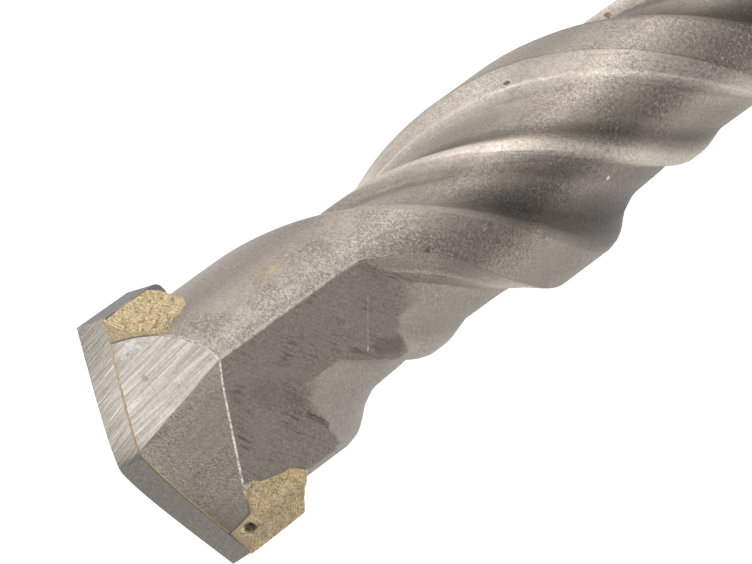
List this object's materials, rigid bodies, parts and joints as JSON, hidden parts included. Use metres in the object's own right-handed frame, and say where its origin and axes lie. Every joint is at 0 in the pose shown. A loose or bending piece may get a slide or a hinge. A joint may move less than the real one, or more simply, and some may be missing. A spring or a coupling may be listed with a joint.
{
  "type": "masonry drill bit",
  "caption": "Hammer drill bit with a grooved cylindrical shank, a right-hand twin-flute body and a brazed carbide plate across a flat-sided, ground head.",
  "frame": {"origin": "centre of the shank's flat end face, on the bit's axis", "axes": "+Z along the bit's axis to the tip, +X along the carbide plate"},
  "size_m": [0.02, 0.0162, 0.2],
  "materials": {
    "blasted_steel": "shot-blasted steel, ground on the head's cheeks and flats",
    "ground_carbide": "ground tungsten carbide",
    "braze": "rough, granular golden braze"
  },
  "bodies": {
    "root": {"drill_body": "blasted_steel", "carbide_tip": "ground_carbide", "braze_joint": "braze"}
  },
  "joints": []
}
